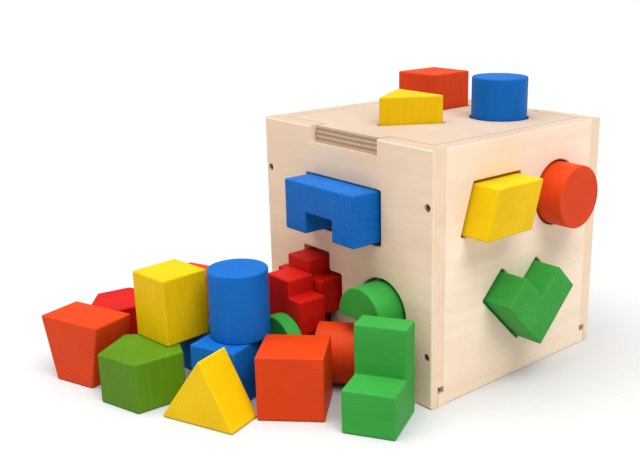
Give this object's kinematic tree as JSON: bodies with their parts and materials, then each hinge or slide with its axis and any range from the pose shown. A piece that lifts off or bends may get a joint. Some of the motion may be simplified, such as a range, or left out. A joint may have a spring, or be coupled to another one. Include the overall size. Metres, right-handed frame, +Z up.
{
  "type": "shape sorter",
  "caption": "Wooden cube with shaped holes in every side and in its lift-off lid, blocks standing part-way in the holes and more blocks lying loose in front.",
  "frame": {"origin": "middle of the cube's underside, on the floor", "axes": "+X to the right along the front wall, -Y straight out of the front wall, +Z up"},
  "size_m": [0.2304, 0.2883, 0.1755],
  "materials": {
    "ply_front": "satin clear-coated birch plywood",
    "ply_right": "satin clear-coated birch plywood",
    "ply_lid": "satin clear-coated birch plywood",
    "ply_back": "satin clear-coated birch plywood",
    "ply_left": "satin clear-coated birch plywood",
    "ply_edge": "satin clear-coated birch plywood",
    "yellow_stain": "satin stain over visible wood grain",
    "orange_stain": "satin stain over visible wood grain",
    "red_stain": "satin stain over visible wood grain",
    "blue_stain": "satin stain over visible wood grain",
    "green_stain": "satin stain over visible wood grain",
    "olive_stain": "satin stain over visible wood grain",
    "screw_steel": "browned steel"
  },
  "bodies": {
    "box": {"bottom_board": "ply_edge", "front_wall": "ply_front", "back_wall": "ply_back", "left_wall": "ply_left", "right_wall": "ply_right", "front_screws": "screw_steel", "back_screws": "screw_steel"},
    "lid": {"lid": "ply_lid"},
    "yellow_triangle_block": {"yellow_triangle_block": "yellow_stain"},
    "orange_square_block": {"orange_square_block": "orange_stain"},
    "blue_peg_block": {"blue_peg_block": "blue_stain"},
    "blue_bridge_block": {"blue_bridge_block": "blue_stain"},
    "red_cross_block": {"red_cross_block": "red_stain"},
    "green_half_round_block": {"green_half_round_block": "green_stain"},
    "yellow_slant_block": {"yellow_slant_block": "yellow_stain"},
    "orange_disc_block": {"orange_disc_block": "orange_stain"},
    "green_angle_block": {"green_angle_block": "green_stain"},
    "orange_trapezoid_loose": {"orange_trapezoid_loose": "orange_stain"},
    "red_hexagon_loose": {"red_hexagon_loose": "red_stain"},
    "yellow_square_loose": {"yellow_square_loose": "yellow_stain"},
    "green_pentagon_loose": {"green_pentagon_loose": "olive_stain"},
    "yellow_triangle_loose": {"yellow_triangle_loose": "yellow_stain"},
    "blue_peg_loose": {"blue_peg_loose": "blue_stain"},
    "blue_slab_loose": {"blue_slab_loose": "blue_stain"},
    "orange_cube_loose": {"orange_cube_loose": "orange_stain"},
    "orange_half_round_loose": {"orange_half_round_loose": "orange_stain"},
    "green_step_loose": {"green_step_loose": "green_stain"},
    "red_cross_loose": {"red_cross_loose": "red_stain"},
    "green_arch_loose": {"green_arch_loose": "green_stain"},
    "yellow_slant_loose": {"yellow_slant_loose": "yellow_stain"},
    "blue_block_loose": {"blue_block_loose": "blue_stain"},
    "orange_block_loose": {"orange_block_loose": "orange_stain"},
    "green_block_loose": {"green_block_loose": "green_stain"}
  },
  "joints": [
    {"name": "lid_lift", "type": "slide", "parent": "box", "child": "lid", "axis": [0, 0, 1], "range_m": [0, 0.07]},
    {"name": "yellow_triangle_block_slide", "type": "slide", "parent": "lid", "child": "yellow_triangle_block", "axis": [0, 0, 1], "range_m": [-0.0165, 0.02]},
    {"name": "orange_square_block_slide", "type": "slide", "parent": "lid", "child": "orange_square_block", "axis": [0, 0, 1], "range_m": [-0.0335, 0.02]},
    {"name": "blue_peg_block_slide", "type": "slide", "parent": "lid", "child": "blue_peg_block", "axis": [0, 0, 1], "range_m": [-0.0355, 0.02]},
    {"name": "blue_bridge_block_slide", "type": "slide", "parent": "box", "child": "blue_bridge_block", "axis": [0, -1, 0], "range_m": [-0.0285, 0.015]},
    {"name": "red_cross_block_slide", "type": "slide", "parent": "box", "child": "red_cross_block", "axis": [0, -1, 0], "range_m": [-0.023, 0]},
    {"name": "green_half_round_block_slide", "type": "slide", "parent": "box", "child": "green_half_round_block", "axis": [0, -1, 0], "range_m": [-0.0265, 0]},
    {"name": "yellow_slant_block_slide", "type": "slide", "parent": "box", "child": "yellow_slant_block", "axis": [1, 0, 0], "range_m": [-0.0275, 0.015]},
    {"name": "orange_disc_block_slide", "type": "slide", "parent": "box", "child": "orange_disc_block", "axis": [1, 0, 0], "range_m": [-0.0165, 0.015]},
    {"name": "green_angle_block_slide", "type": "slide", "parent": "box", "child": "green_angle_block", "axis": [1, 0, 0], "range_m": [-0.0285, 0.015]},
    {"name": "orange_trapezoid_loose_slide", "type": "slide", "parent": "box", "child": "orange_trapezoid_loose", "axis": [0, 0, 1], "range_m": [0, 0.04]},
    {"name": "red_hexagon_loose_slide", "type": "slide", "parent": "box", "child": "red_hexagon_loose", "axis": [0, 0, 1], "range_m": [0, 0.04]},
    {"name": "green_pentagon_loose_slide", "type": "slide", "parent": "box", "child": "green_pentagon_loose", "axis": [0, 0, 1], "range_m": [0, 0.03]},
    {"name": "yellow_square_loose_slide", "type": "slide", "parent": "green_pentagon_loose", "child": "yellow_square_loose", "axis": [0, 0, 1], "range_m": [0, 0.04]},
    {"name": "yellow_triangle_loose_slide", "type": "slide", "parent": "box", "child": "yellow_triangle_loose", "axis": [0, 0, 1], "range_m": [0, 0.04]},
    {"name": "blue_slab_loose_slide", "type": "slide", "parent": "box", "child": "blue_slab_loose", "axis": [0, 0, 1], "range_m": [0, 0.03]},
    {"name": "blue_peg_loose_slide", "type": "slide", "parent": "blue_slab_loose", "child": "blue_peg_loose", "axis": [0, 0, 1], "range_m": [0, 0.04]},
    {"name": "orange_cube_loose_slide", "type": "slide", "parent": "box", "child": "orange_cube_loose", "axis": [0, 0, 1], "range_m": [0, 0.04]},
    {"name": "orange_half_round_loose_slide", "type": "slide", "parent": "box", "child": "orange_half_round_loose", "axis": [0, 0, 1], "range_m": [0, 0.006]},
    {"name": "green_step_loose_slide", "type": "slide", "parent": "box", "child": "green_step_loose", "axis": [0, 0, 1], "range_m": [0, 0.04]},
    {"name": "green_block_loose_slide", "type": "slide", "parent": "box", "child": "green_block_loose", "axis": [0, 0, 1], "range_m": [0, 0.01]},
    {"name": "red_cross_loose_slide", "type": "slide", "parent": "green_block_loose", "child": "red_cross_loose", "axis": [0, 0, 1], "range_m": [0, 0.012]},
    {"name": "green_arch_loose_slide", "type": "slide", "parent": "box", "child": "green_arch_loose", "axis": [0, 0, 1], "range_m": [0, 0.03]},
    {"name": "yellow_slant_loose_slide", "type": "slide", "parent": "box", "child": "yellow_slant_loose", "axis": [-1, 0, 0], "range_m": [0, 0.03]},
    {"name": "blue_block_loose_slide", "type": "slide", "parent": "box", "child": "blue_block_loose", "axis": [-0.9397, 0.342, 0], "range_m": [0, 0.018]},
    {"name": "orange_block_loose_slide", "type": "slide", "parent": "blue_block_loose", "child": "orange_block_loose", "axis": [0, 0, 1], "range_m": [0, 0.04]}
  ]
}
